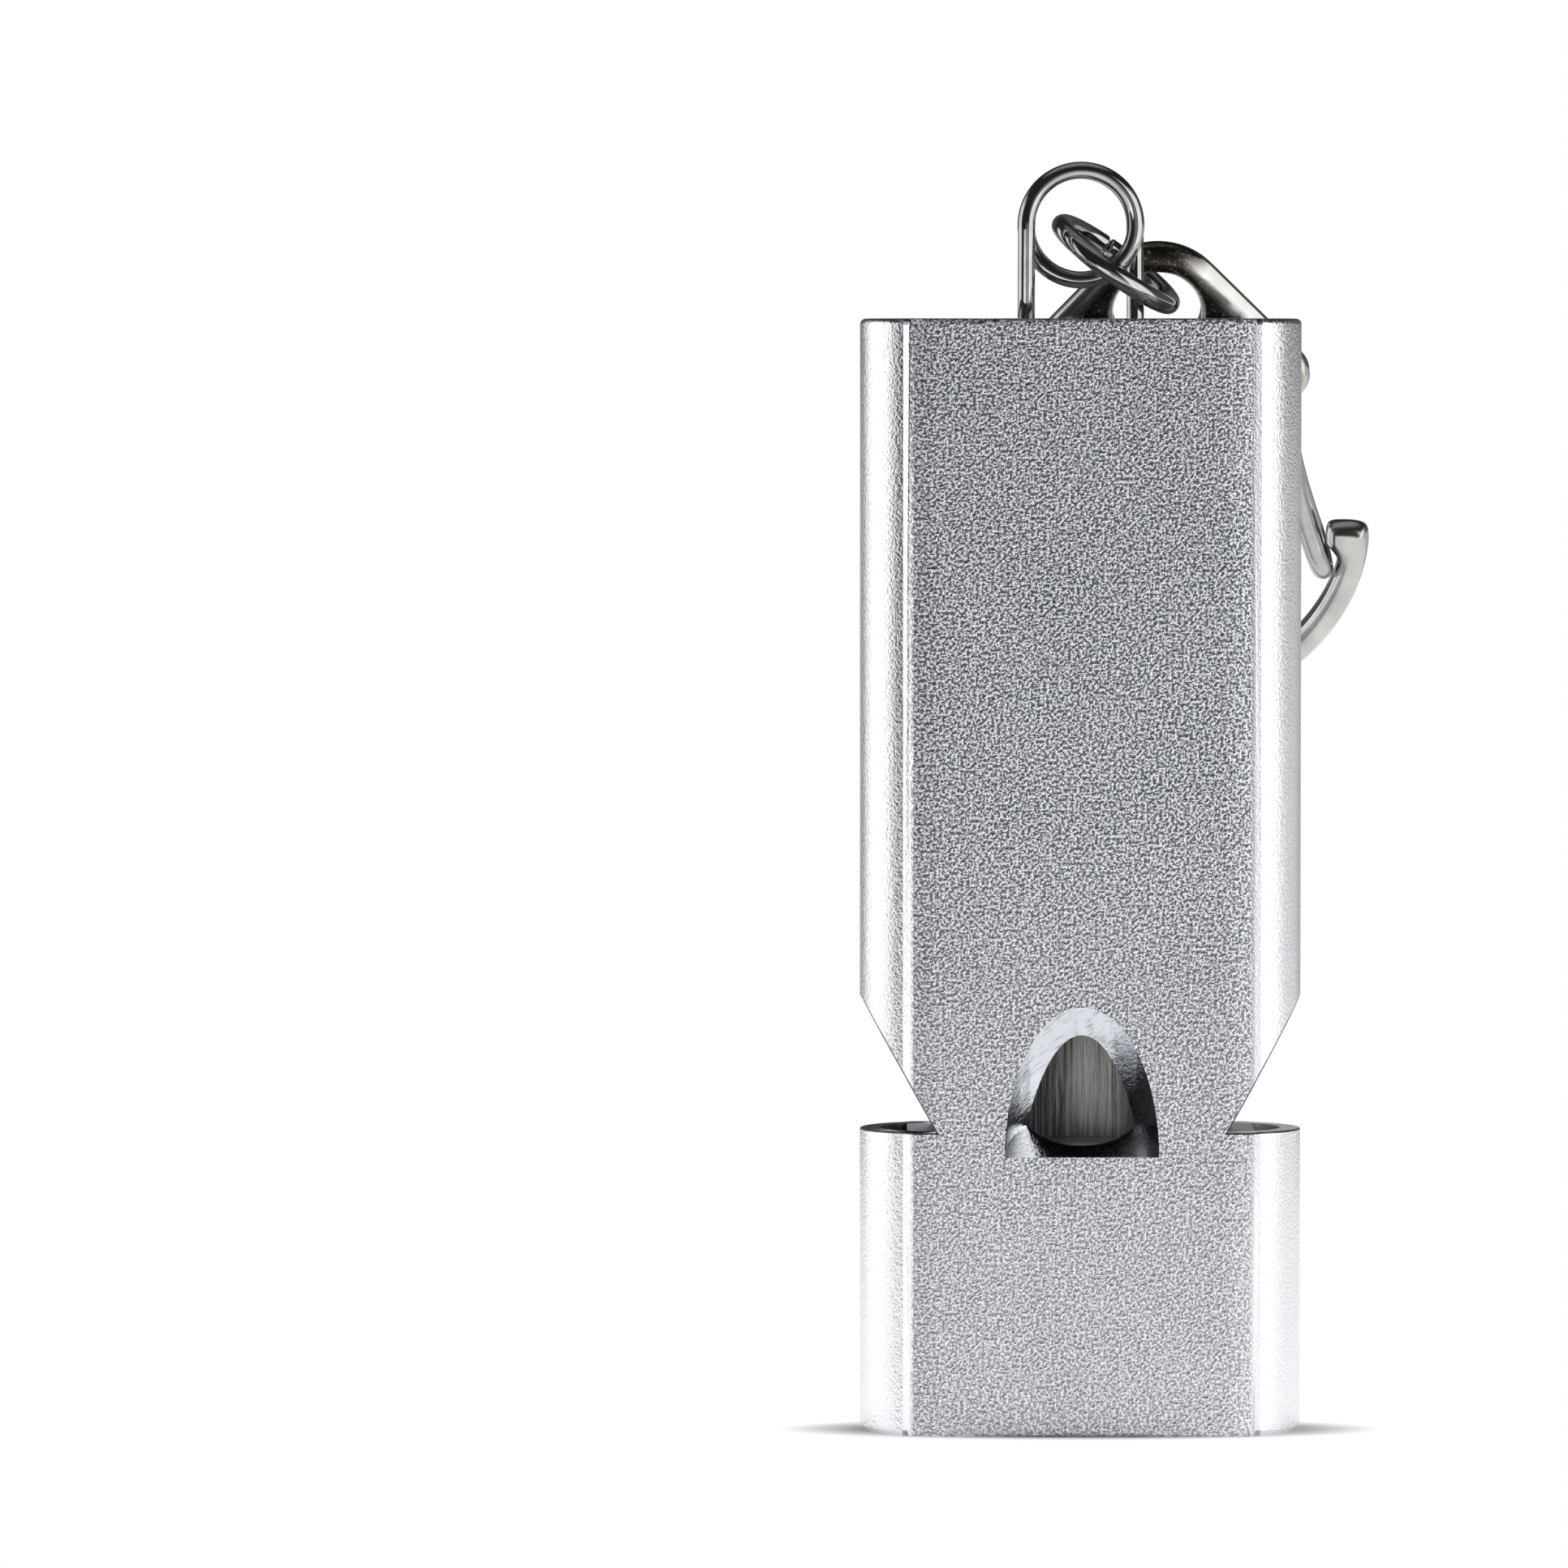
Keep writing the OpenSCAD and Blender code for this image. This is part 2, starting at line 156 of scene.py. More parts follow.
# %% Jump ring
ring_r, ring_wire_r, ring_seam, ring_steps = 3.3, 0.5, 0.15, 220
ring_centre = np.array([1.78701, 2.01822, 57.6909])
ring_slope, ring_tilt, seam_angle = np.radians([36.0, 9.0, 105.0])
end_ease = 0.03
ring_u = np.array([np.cos(ring_slope), 0, -np.sin(ring_slope)])
ring_up = np.array([np.sin(ring_slope), 0, np.cos(ring_slope)])
ring_v = np.array([0, np.cos(ring_tilt), 0]) + np.sin(ring_tilt) * ring_up
half_seam = ring_seam / 2 / ring_r + end_ease
ring_turn = seam_angle + np.linspace(half_seam, 2 * np.pi - half_seam, ring_steps)[:, None]
ring_line = ring_centre + ring_r * (np.cos(ring_turn) * ring_u + np.sin(ring_turn) * ring_v)
ring_grid = wire_grid(ring_line * mm, ring_wire_r * mm, np.cross(ring_u, ring_v))
link_ring = skin("link_ring", ring_grid)
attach(link_ring, "ring")
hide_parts("jump_ring")
print("jump ring:", len(link_ring.data.polygons), "faces")

# %% [markdown]
# ## The gate of the hook
#
# The gate is one bent wire. Its ends are pinned in the hook's shoulder on both faces, it runs down
# both faces and turns round under the nose. The line is drawn flat, x to the gate's side and y up,
# then hung as the hook is.

# %% Where the hook hangs
hook_tilt, hook_lean = np.radians([1.0, 24.5862])
eye_centre = np.array([3.91119, 4.84294, 55.4782])
sideways = np.array([1.0, 0.0, 0.0])
up_the_lean = np.array([0.0, -np.sin(hook_lean), np.cos(hook_lean)])
hook_x = np.cos(hook_tilt) * sideways + np.sin(hook_tilt) * up_the_lean
hook_y = -np.sin(hook_tilt) * sideways + np.cos(hook_tilt) * up_the_lean
hook_z = np.cross(hook_x, hook_y)


def hung(flat):
    """Points of the flat drawing put in place: eye centre + x * across + y * up + z * square to
    the hook."""
    return eye_centre + flat @ np.stack([hook_x, hook_y, hook_z])


print("hook leans", round(math.degrees(hook_lean), 1), "degrees from upright")

# %% Gate
hook_t, throat_r, bulb_drop = 1.6, 9.4, 11.7
gate_wire_r, gate_gap, gate_bow, pivot_clearance = 0.5, 0.3, 0.45, 0.05
gate_end_gap, gate_end_drop, pin_start = 0.12, 2.7, 0.1
pin = np.array([6.2, -3.6])
gate_side = hook_t / 2 + gate_gap + gate_wire_r
gate_bend = 1.5 * gate_wire_r
gate_end_r = throat_r - gate_end_gap - gate_wire_r
gate_end_x = math.sqrt(gate_end_r**2 - gate_end_drop**2)
gate_end = np.array([gate_end_x, -bulb_drop - gate_end_drop])
gate_run = gate_end - pin
gate_length = np.linalg.norm(gate_run)


def gate_points(s, z):
    """A share s of the way from the pin to the gate's end, bowed inwards, at height z over the
    hook's middle."""
    x = pin[0] + gate_run[0] * s - gate_bow * np.sin(np.pi * s)
    return np.stack([x, pin[1] + gate_run[1] * s, z], axis=1)


top_share, low_share = gate_bend / gate_length, 1 - gate_side / gate_length
pin_heights = np.linspace(pin_start, gate_side - gate_bend, 6)
bend = np.linspace(0, np.pi / 2, 12)[1:]
straight = np.linspace(top_share, low_share, 40)[1:]
round_end = np.linspace(0, np.pi, 26)[1:-1]
gate_half = np.concatenate([
    np.column_stack([np.tile(pin, (len(pin_heights), 1)), pin_heights]),
    gate_points(top_share * (1 - np.cos(bend)), gate_side - gate_bend * (1 - np.sin(bend))),
    gate_points(straight, np.full(len(straight), gate_side))])
gate_line = np.concatenate([
    gate_half,
    gate_points(low_share + (1 - low_share) * np.sin(round_end), gate_side * np.cos(round_end)),
    gate_half[::-1] * [1, 1, -1]])
across_gate = (gate_run[1] * hook_x - gate_run[0] * hook_y) / gate_length
sprung_gate = skin("sprung_gate", wire_grid(hung(gate_line) * mm, gate_wire_r * mm, across_gate))
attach(sprung_gate, "gate")
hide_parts("gate_wire")
print("gate:", len(sprung_gate.data.polygons), "faces, run", round(float(gate_length), 2), "mm")

# %% [markdown]
# ## The cast hook
#
# The hook is a flat zinc casting: an eye, two flanks that end in shoulders, a spine and a round
# band up to the nose. One shoulder has the hole for the gate's pin. Its edge is rounded, wide about
# the eye and narrower on the band. A bevelled solid would show facets, so its outline is drawn once
# as a closed line and softened, and a rounded rim is carried along it.

# %% Outline of the hook
band_w, nose_turn, lip_turn, lip_depth = 1.3, math.radians(-1.0), math.radians(8.0), 0.9
lip_run, low_turn = math.radians(4.0), math.radians(239.5)
eye_r, eye_rim, web_h, web_arch_r, shoulder_r = 2.2, 1.4, 2.1, 12.0, 1.45
arc_step, inner_steps = 0.05, 900
bulb, shoulder, spine = -1j * bulb_drop, complex(*pin), complex(-pin[0], pin[1])
top_r, bulb_r, arch = eye_r + eye_rim, throat_r + band_w, -1j * (eye_r + web_h + web_arch_r)


def tangent_turn(a, ra, b, rb, side):
    """Direction from a circle's centre to where a line touches both circles: the direction from a
    to b, turned by the angle whose cosine is (ra - rb) / distance."""
    return np.angle(b - a) + side * np.arccos((ra - rb) / abs(b - a))


def arc(centre, r, start, end):
    """Points of an arc, about one in each step."""
    steps = 3 + int(r * abs(end - start) / arc_step)
    return centre + r * np.exp(1j * np.linspace(start, end, steps))


gate_flank = tangent_turn(0j, top_r, shoulder, shoulder_r, 1)
spine_flank = np.pi - gate_flank
spine_back = tangent_turn(bulb, bulb_r, spine, shoulder_r, 1)
nose_end = 2 * np.pi + nose_turn
meet_y = ((web_arch_r**2 - throat_r**2) / abs(arch - bulb) - abs(arch) - bulb_drop) / 2
meet = -math.sqrt(throat_r**2 - (meet_y + bulb_drop) ** 2) + 1j * meet_y
low_way = np.exp(1j * low_turn)
to_arch = -np.real((shoulder - arch) * np.conj(low_way))
corner_step = to_arch - math.sqrt(to_arch**2 - abs(shoulder - arch) ** 2 + web_arch_r**2)
corner = shoulder + corner_step * low_way
inner_turn = np.linspace(nose_end, np.angle(meet - bulb), inner_steps)
lip = 1 - np.clip((nose_end - lip_turn - inner_turn) / lip_run, 0, 1)
outline = np.concatenate([
    arc(0j, top_r, gate_flank, spine_flank),
    arc(spine, shoulder_r, spine_flank, spine_back),
    arc(bulb, bulb_r, spine_back, nose_end),
    bulb + (throat_r - lip_depth * lip) * np.exp(1j * inner_turn),
    arc(arch, web_arch_r, np.angle(meet - arch), np.angle(corner - arch)),
    arc(shoulder, shoulder_r, low_turn, 2 * np.pi + gate_flank)])
print("hook outline:", len(outline), "points, web corner at", np.round(corner, 2))


# %% Rounded rim along a closed line
def faded(line, spacing, soft):
    """A closed line of evenly spaced values, softened: each wave of frequency f along it fades by
    exp(-(2 pi f soft)^2 / 2)."""
    waves = np.fft.fftfreq(len(line), spacing)
    return np.fft.ifft(np.fft.fft(line) * np.exp(-((2 * np.pi * waves * soft) ** 2) / 2))


def even_loop(points, count, soft):
    """A closed line with evenly spaced points, softened over a length in mm."""
    closed = np.append(points, points[0])
    along = np.append(0, np.cumsum(np.abs(np.diff(closed))))
    line = np.interp(np.linspace(0, along[-1], count, endpoint=False), along, closed)
    return faded(line, along[-1] / count, soft)


def rim_grid(loop, width, depth, half):
    """Rings from one face to the other: half way between a round edge, which moves inwards by
    width * (1 - cos a) and down by depth * (1 - sin a) for a from a quarter turn to 0, and a flat
    bevel."""
    ahead = np.roll(loop, -1) - np.roll(loop, 1)
    a = np.linspace(np.pi / 2, 0, 8)[:, None]
    share = 2 * a / np.pi
    line = loop + width * ((1 - np.cos(a)) + share) / 2 * 1j * ahead / np.abs(ahead)
    drop = depth * ((1 - np.sin(a)) + (1 - share)) / 2
    upper = np.stack([line.real, line.imag, half - drop * np.ones(len(loop))], axis=-1)
    return np.concatenate([upper, upper[::-1] * [1, 1, -1]])


def rim_quads(index):
    """Faces between the rings of a rim: point k of ring i, the ring below it, and the next points
    of both."""
    ahead = np.roll(index, -1, axis=1)
    return np.stack([index[:-1], index[1:], ahead[1:], ahead[:-1]], axis=-1).reshape(-1, 4)


def round_hole(centre, r, steps):
    """A circle that runs clockwise, so that its rim faces into the hole."""
    return centre + r * np.exp(-2j * np.pi * np.arange(steps) / steps)


# %% Rims of the hook
edge_points, edge_soft, nose_soft, nose_reach = 1000, 0.28, 0.62, 1.6
edge = even_loop(outline, edge_points, edge_soft)
nose = bulb + (throat_r + band_w / 2) * np.exp(1j * nose_turn)
tip = np.exp(-((np.abs(edge - nose) / nose_reach) ** 2))
edge = edge + (even_loop(outline, edge_points, nose_soft) - edge) * tip

wide_above, wide_run, arch_margin, wide_blend = -4.6, 0.8, 0.8, 12
flank_from, flank_run, pin_reach = 1.5, 1.5, 2.6
band_rim, pin_rim, eye_edge, pin_edge = 0.42, 0.66, 0.32, 0.06
high = 0.5 + 0.5 * np.tanh((edge.imag - wide_above) / wide_run)
outside = np.abs(edge - arch) > web_arch_r + arch_margin
wide = np.real(faded(high * outside, 1.0, wide_blend))
flank = np.clip((edge.real - flank_from) / flank_run, 0, 1)
near_pin = np.clip(pin_reach - np.abs(edge - shoulder), 0, 1)
width = band_rim + (0.50 + 0.25 * flank) * wide + 0.16 * tip
width = width + (pin_rim - width) * near_pin
depth = band_rim + 0.14 * wide + 0.26 * tip
eye_hole = round_hole(0j, eye_r, 140)
pin_hole = round_hole(shoulder, gate_wire_r + pivot_clearance, 60)
rims = [
    rim_grid(edge, width, depth, hook_t / 2),
    rim_grid(eye_hole, eye_edge, eye_edge, hook_t / 2),
    rim_grid(pin_hole, pin_edge, pin_edge, hook_t / 2)]
print("hook rims:", [rim.shape[1] for rim in rims], "points round")

# %% Hook
starts = np.cumsum([0] + [rim[..., 0].size for rim in rims])
indices = [
    start + np.arange(rim[..., 0].size).reshape(rim.shape[:2]) for start, rim in zip(starts, rims)]
cap = np.array(tessellate_polygon([(rim[0] * [1, 1, 0]).tolist() for rim in rims]))
flat = np.concatenate([rim[0] for rim in rims])[:, :2]
first, second, third = flat[cap[:, 0]], flat[cap[:, 1]], flat[cap[:, 2]]
turned_over = np.linalg.det(np.stack([second - first, third - first], axis=1)) < 0
cap[turned_over] = cap[turned_over][:, ::-1]
front_cap = np.concatenate([index[0] for index in indices])[cap]
back_cap = np.concatenate([index[-1] for index in indices])[cap][:, ::-1]
walls = np.concatenate([rim_quads(index) for index in indices])
hook_points = hung(np.concatenate([rim.reshape(-1, 3) for rim in rims])) * mm
hook_faces = walls.tolist() + front_cap.tolist() + back_cap.tolist()
cast_hook = mesh_object("cast_hook", hook_points, hook_faces)
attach(cast_hook, "hook")
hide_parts("hook_body")
print("hook:", len(hook_faces), "faces")

# %% [markdown]
# ## The body, with softened edges
#
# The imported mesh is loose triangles. A merged copy can be shaded smooth, and a small bevel takes
# the hard line off the ends and the notches, as handling does on the real metal. Weights on the
# edges give the bevel its two widths, and the rest of the edges stay sharp.

# %% Merged copy
tube_x, side_bore_r, centre_bore_r = 6.9, 3.0, 3.2
outside_from, close = 3.9, 0.01
notch_from_x, notch_low, notch_high, level_run = 6.5, 14.5, 24.0, 0.001
notch_round, end_round, sharp_angle, shaded_edge_slot = 0.08, 0.3, 28, 4
merge_gap, flat_angle, square_facing = 0.002, 0.5, 0.9995


def at_end(pairs):
    """Which edges, as pairs of points in mm, run round the outside of the body's two ends."""
    x, y, z = np.abs(pairs.mean(axis=1)).T
    level = np.ptp(pairs[:, :, 2], axis=1) < close
    outer = (y > outside_from) | ((x > tube_x) & (np.hypot(x - tube_x, y) > outside_from))
    return level & outer & ((z < close) | (z > body_len - close))


def at_notch(pairs):
    """Which edges, as pairs of points in mm, run round the outside of the two side notches."""
    x, y, z = np.abs(pairs.mean(axis=1)).T
    outer = (y > outside_from) | (np.hypot(x - tube_x, y) > outside_from)
    sideways_run = np.abs(pairs[:, 0, 0] - pairs[:, 1, 0]) > level_run
    return outer & sideways_run & (x > notch_from_x) & (z > notch_low) & (z < notch_high)


def merged_mesh(name, node, angle):
    """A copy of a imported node's mesh with its points merged and its flat faces joined, smooth up
    to an angle. Faces square to Y or Z stay flat."""
    mesh = nodes[node].data.copy()
    work = bmesh.new()
    work.from_mesh(mesh)
    bmesh.ops.remove_doubles(work, verts=work.verts, dist=merge_gap * mm)
    limit = math.radians(flat_angle)
    bmesh.ops.dissolve_limit(work, angle_limit=limit, verts=work.verts, edges=work.edges)
    work.to_mesh(mesh)
    work.free()
    mesh.name = name
    mesh.materials.clear()
    mesh.shade_smooth()
    mesh.set_sharp_from_angle(angle=math.radians(angle))
    facing = np.empty(3 * len(mesh.polygons))
    mesh.polygons.foreach_get("normal", facing)
    smooth = np.abs(facing.reshape(-1, 3)[:, 1:]).max(axis=1) < square_facing
    mesh.polygons.foreach_set("use_smooth", smooth)
    return mesh


def bevel_weights(mesh, width, end_width):
    """The share of the end width that each edge is bevelled by: all of it round the ends, the
    other width round the notches, and none elsewhere."""
    sharp = np.zeros(len(mesh.edges), dtype=bool)
    mesh.attributes["sharp_edge"].data.foreach_get("value", sharp)
    ends = np.empty(2 * len(mesh.edges), dtype=np.int32)
    mesh.edges.foreach_get("vertices", ends)
    points = np.empty(3 * len(mesh.vertices))
    mesh.vertices.foreach_get("co", points)
    pairs = points.reshape(-1, 3)[ends.reshape(-1, 2)] / mm
    return np.where(at_end(pairs), 1.0, at_notch(pairs) * width / end_width) * sharp


def softened(name, node, body, width, end_width, angle):
    """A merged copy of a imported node, with its ends and notches bevelled."""
    mesh = merged_mesh(name, node, angle)
    share = bevel_weights(mesh, width, end_width)
    mesh.attributes.new("bevel_weight_edge", "FLOAT", "EDGE").data.foreach_set("value", share)
    thing = bpy.data.objects.new(name, mesh)
    bpy.context.scene.collection.objects.link(thing)
    bevel = thing.modifiers.new("soft edges", "BEVEL")
    bevel.width = end_width * mm
    bevel.segments = 3
    bevel.limit_method = "WEIGHT"
    bevel.material = shaded_edge_slot
    bevel.use_clamp_overlap = False
    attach(thing, body)
    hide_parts(node)
    print(name, "from", node, ":", len(mesh.polygons), "faces")
    return thing


extrusion = softened(
    "extrusion", "whistle_body", "whistle",
    notch_round, end_round, sharp_angle)

# %% [markdown]
# ## Which faces were cut
#
# The outside was blasted. The notches, the window and the tubes were cut or drawn, and they stay
# bright. The window's floor has a finish of its own, and so have the softened edges. A face's place
# and direction decide its group: blasted 0, milled 1, bored 2, window floor 3.

# %% Face groups of the body
blasted_slot, milled_slot, bored_slot, sill_slot = range(4)
steep, wall_gap, facing_in, floor_up = 0.1, 0.02, -0.5, 0.3
count = len(extrusion.data.polygons)
middle, normal = np.empty(count * 3), np.empty(count * 3)
extrusion.data.polygons.foreach_get("center", middle)
extrusion.data.polygons.foreach_get("normal", normal)
(x, y, z), (nx, ny, nz) = middle.reshape(-1, 3).T / mm, normal.reshape(-1, 3).T


def in_tube_at(tube, r):
    """Faces of the tube wall of radius r about x = tube: upright, close to the wall, facing in."""
    near = np.hypot(x - tube, y) < r + wall_gap
    return near & ((x - tube) * nx + y * ny < facing_in) & (np.abs(nz) < steep)


bored = (in_tube_at(-tube_x, side_bore_r) | in_tube_at(0.0, centre_bore_r)
         | in_tube_at(tube_x, side_bore_r))
slope_low, slope_high = 8, 45
window_half, window_low, window_high, window_front = 4.0, 12, 22, -4.04
sloped = (np.abs(nz) > steep) & (z > slope_low) & (z < slope_high)
by_window = (np.abs(x) < window_half) & (z > window_low) & (z < window_high)
window = by_window & (y > window_front) & (y < 0) & ~bored
group = np.full(count, blasted_slot, dtype=np.int32)
group[sloped | window] = milled_slot
group[window & (nz > floor_up)] = sill_slot
group[bored] = bored_slot
extrusion.data.polygons.foreach_set("material_index", group)
print("blasted, milled, bored and window floor faces:", np.bincount(group))

# %% [markdown]
# ## Shader sums as Python
#
# A finish is easier to read as a sum than as a row of nodes. A small class wraps one output of a
# node, and its operators add the Math nodes. Every other node comes from its one method.

# %% Signals
class Signal:
    """One output of a shader node. Its operators add Math nodes, and node() adds any other node."""

    def __init__(self, tree, socket=None):
        self.tree, self.socket = tree, socket

    def node(self, kind, settings=None, out=0, **inputs):
        """A node of that type: its settings are set first, a ramp's stops among them, then its
        sockets by name, or by place as s0, s1."""
        made = self.tree.nodes.new(kind)
        for key, value in (settings or {}).items():
            if key == "stops":
                ramp = made.color_ramp.elements
                while len(ramp) < len(value):
                    ramp.new(0.5)
                for stop, (position, tone) in zip(ramp, value):
                    stop.position, stop.color = position, (*tone, 1.0)
            else:
                setattr(made, key, value)
        for key, value in inputs.items():
            by_place = key[0] == "s" and key[1:].isdigit()
            feed(made.inputs[int(key[1:]) if by_place else key.replace("_", " ")], value)
        return Signal(self.tree, made.outputs[out])

    def math(self, operation, *values):
        """A Math node of that operation."""
        places = {f"s{i}": value for i, value in enumerate(values)}
        return self.node("ShaderNodeMath", {"operation": operation}, **places)

    def __add__(self, b):
        return self.math("ADD", self, b)

    def __sub__(self, b):
        return self.math("SUBTRACT", self, b)

    def __rsub__(self, b):
        return self.math("SUBTRACT", b, self)

    def __mul__(self, b):
        return self.math("MULTIPLY", self, b)

    def __abs__(self):
        return self.math("ABSOLUTE", self)

    __radd__, __rmul__ = __add__, __mul__

    def between(self, low, high):
        """0 up to low, 1 from high on, and a straight rise between."""
        return self.node("ShaderNodeMapRange", From_Min=low, From_Max=high, Value=self)

    def tint(self, dark, light):
        """A colour between two colours by this signal."""
        dark, light = (
            tone if isinstance(tone, Signal) else (*tone, 1.0) for tone in (dark, light))
        return self.node("ShaderNodeMix", {"data_type": "RGBA"}, out=2, s0=self, s6=dark, s7=light)

    def dot(self, way):
        """The part of this vector along a fixed direction."""
        settings = {"operation": "DOT_PRODUCT"}
        return self.node("ShaderNodeVectorMath", settings, out="Value", s0=self, s1=tuple(way))

    def axes(self):
        """The three coordinates of this vector."""
        made = self.node("ShaderNodeSeparateXYZ", Vector=self).socket.node
        return [Signal(self.tree, made.outputs[axis]) for axis in "XYZ"]


def feed(socket, value):
    """A socket takes a link from a signal, or a plain value."""
    if isinstance(value, Signal):
        value.tree.links.new(value.socket, socket)
    else:
        socket.default_value = value


# %% Finish helpers
def finish_of(name, **constants):
    """A new material with those constants on its shader. Gives the material, its shader and its
    Object coordinates as a signal."""
    material = bpy.data.materials.new(name)
    material.use_nodes = True
    shader = material.node_tree.nodes["Principled BSDF"]
    for key, value in constants.items():
        shader.inputs[key.replace("_", " ")].default_value = value
    place = Signal(material.node_tree).node("ShaderNodeTexCoord", out="Object")
    return material, shader, place


def dress(shader, colour, roughness, normal):
    """Links the three signals of a finish to its shader."""
    feed(shader.inputs["Base Color"], colour)
    feed(shader.inputs["Roughness"], roughness)
    feed(shader.inputs["Normal"], normal)


def grain(place, size, stretch=(1, 1, 1), detail=2.0, roughness=0.5):
    """Noise of a grain size in mm, drawn out along the axes where stretch is under 1."""
    drawn = place.node("ShaderNodeMapping", Vector=place, Scale=stretch)
    scale = 1 / (size * mm)
    return drawn.node(
        "ShaderNodeTexNoise", Vector=drawn, Scale=scale, Detail=detail, Roughness=roughness)


def dents(height, depth, strength=1.0):
    """A bump of that depth in mm."""
    return height.node("ShaderNodeBump", Height=height, Distance=depth * mm, Strength=strength)


# %% [markdown]
# ## Blasted aluminium
#
# Fine beads leave a dense field of dents about 0.15 mm across, each with a bright and a dark side.
# The clear anodic film gives a slight blue. The panels turn a little towards their edges. The round
# lobes have calmer dents and a lighter colour, which is a painted highlight, and the colour is
# painted paler towards the mouthpiece end, as painted light.

# %% Blasted finish
bead_size, bead_depth, patch_size = 0.15, 0.15, 5.0
panel_turns, panel_ends = 7.0 * mm, 8.3 * mm
lobe_starts, lobe_full, lobe_calm_and_lift = 8.25 * mm, 8.5 * mm, 0.75
mouth_low, mouth_high, low_light_lift = 8.0 * mm, 30.0 * mm, 0.30
blasted, shader, place = finish_of("blasted aluminium", Metallic=1.0)
beads = grain(place, bead_size, roughness=0.6)
patches = grain(place, patch_size)
speckle = beads.between(0.45, 0.55)
across, _, height = place.axes()
from_middle = abs(across)
panel_edge = from_middle.between(panel_turns, panel_ends)
# The round lobes get fewer dents and a lighter colour, which is a painted highlight.
calm_and_painted_highlight = lobe_calm_and_lift * from_middle.between(lobe_starts, lobe_full)
# The colour is painted paler towards the mouthpiece end, as painted light.
painted_low_light = low_light_lift * (1 - height.between(mouth_low, mouth_high)) * (1 - calm_and_painted_highlight)
tone = speckle * (0.92 - 1.1 * calm_and_painted_highlight - painted_low_light) + 1.1 * calm_and_painted_highlight + painted_low_light + patches * 0.15
dress(
    shader,
    tone.tint((0.10, 0.11, 0.165), (0.96, 0.975, 1.0)),
    0.17 + 0.09 * speckle,
    dents(beads * (1 - calm_and_painted_highlight) - 2.0 * panel_edge * panel_edge, bead_depth))
print("blasted aluminium: bead dents", bead_size, "mm")

# %% [markdown]
# ## Milled and bored aluminium
#
# The cutter leaves bright walls with fine slanted lines, and it chatters on the window's floor. The
# extrusion die leaves long lines in the tubes, and the plugs are turned. Noise that is drawn out
# along one axis gives them all. Each tube's colour is painted dark on its left and bright on its
# right, as painted shade and light. The softened edges are painted dark as painted shade, darkest
# at the notches, with a rubbed mottle.

# %% Milled walls and floor of the window
line_size, tear_size, wall_depth, line_slant = 0.12, 0.9, 0.05, math.radians(35)
milled, shader, place = finish_of("milled aluminium", Metallic=1.0)
slanted = place.node("ShaderNodeMapping", Vector=place, Rotation=(0, line_slant, 0))
lines = grain(slanted, line_size, stretch=(0.12, 0.5, 1), detail=3.0, roughness=0.6)
torn = grain(place, tear_size, detail=3.0)
side_way, depth_way, _ = place.axes()
left_wall = 1 - side_way.between(-2.0 * mm, -0.2 * mm)
leaning = left_wall * depth_way * (0.3 / (wall_depth * mm))
dress(
    shader,
    (lines * 0.6 + torn * 0.4).between(0.34, 0.50).tint((0.40, 0.41, 0.45), (0.74, 0.76, 0.81)),
    0.10 + 0.16 * lines,
    dents(lines * 0.5 + torn * 0.5 + leaning, wall_depth))

chatter_size, chatter_depth = 0.15, 0.02
sill, shader, place = finish_of("milled sill", Metallic=1.0)
chatter = grain(place, chatter_size, stretch=(1, 0.4, 1), detail=3.0)
dress(
    shader,
    chatter.between(0.3, 0.5).tint((0.86, 0.86, 0.87), (1.0, 1.0, 1.0)),
    0.10 + 0.10 * chatter,
    dents(chatter, chatter_depth))
print("milled lines", line_size, "mm, window floor", chatter_size, "mm")

# %% Bored tubes
draw_size, draw_depth, painted_dark_until, painted_bright_from = 0.20, 0.07, -1.2 * mm, 1.9 * mm
bored_finish, shader, place = finish_of("bored aluminium", Metallic=1.0)
draw = grain(place, draw_size, stretch=(1, 1, 0.04), detail=4.0, roughness=0.7)
across = place.axes()[0]
in_tube = across.math("WRAP", across, tube_x / 2 * mm, -tube_x / 2 * mm)
# Painted shade and light: each tube's colour runs from dark on its left to bright on its right,
# ragged along the drawing lines.
painted_shading = (in_tube + (draw - 0.5) * 3.0 * mm).between(painted_dark_until, painted_bright_from)
dress(
    shader,
    (painted_shading * 0.7 + draw.between(0.4, 0.6) * 0.3).tint((0.10, 0.10, 0.115), (1.0, 0.99, 0.96)),
    0.34 + 0.2 * draw,
    dents(draw, draw_depth))
print("drawing lines", draw_size, "mm")

# %% Turned plugs and edges painted dark
turning_size, turning_depth = 0.12, 0.02
turned, shader, place = finish_of("turned aluminium", Metallic=1.0)
rings_cut = grain(place, turning_size, stretch=(0.3, 0.3, 1))
dress(
    shader,
    rings_cut.between(0.3, 0.7).tint((0.60, 0.61, 0.63), (0.85, 0.86, 0.88)),
    0.30 + 0.15 * rings_cut,
    dents(rings_cut, turning_depth, 0.5))

rub_size, rub_depth = 0.4, 0.02
rubbed_and_shaded_edge, shader, place = finish_of("worn edge", Metallic=1.0)
rubbed = grain(place, rub_size)
along = place.axes()[2]
# The softened edges are painted dark as painted shade: lighter round the two ends, darkest round
# the notches, with a random rubbed mottle.
at_ends = 1 - along.between(5.0 * mm, 8.0 * mm) * (1 - along.between(40.0 * mm, 45.0 * mm))
edge_shade_and_rub = at_ends * 0.7 + rubbed.between(0.3, 0.7) * 0.3
dress(
    shader,
    edge_shade_and_rub.tint((0.05, 0.055, 0.08), (0.52, 0.54, 0.60)),
    0.28 + 0.15 * rubbed,
    dents(rubbed, rub_depth, 0.5))

